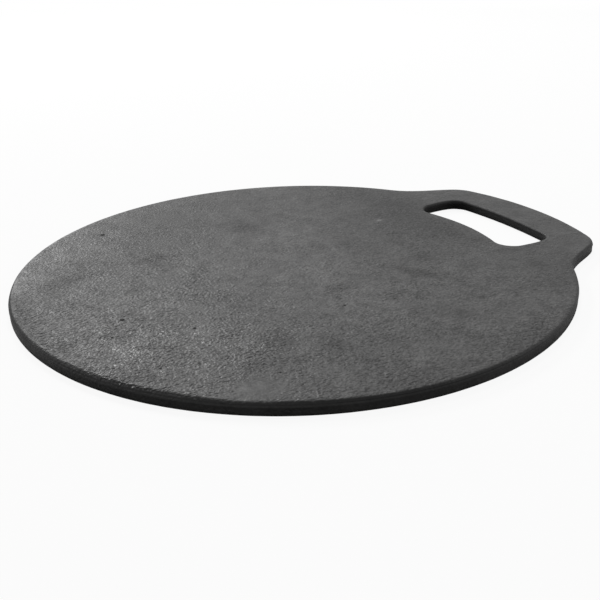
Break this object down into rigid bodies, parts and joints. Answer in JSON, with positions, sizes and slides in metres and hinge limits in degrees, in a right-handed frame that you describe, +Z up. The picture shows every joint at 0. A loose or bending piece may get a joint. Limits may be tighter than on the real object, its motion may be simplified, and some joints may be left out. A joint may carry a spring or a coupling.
{
  "type": "cast iron griddle plate",
  "caption": "Flat round cast iron baking plate with a low handle tab and a curved hand slot, cast in one piece.",
  "frame": {"origin": "centre of the round plate, on the flat underside", "axes": "+X from the plate's centre along the handle, +Z up out of the cooking face, +Y across the handle to its left"},
  "size_m": [0.3245, 0.3, 0.0063],
  "materials": {
    "black_iron": "seasoned black, sand-cast grain, satin"
  },
  "bodies": {
    "root": {"cast_plate": "black_iron"}
  },
  "joints": []
}
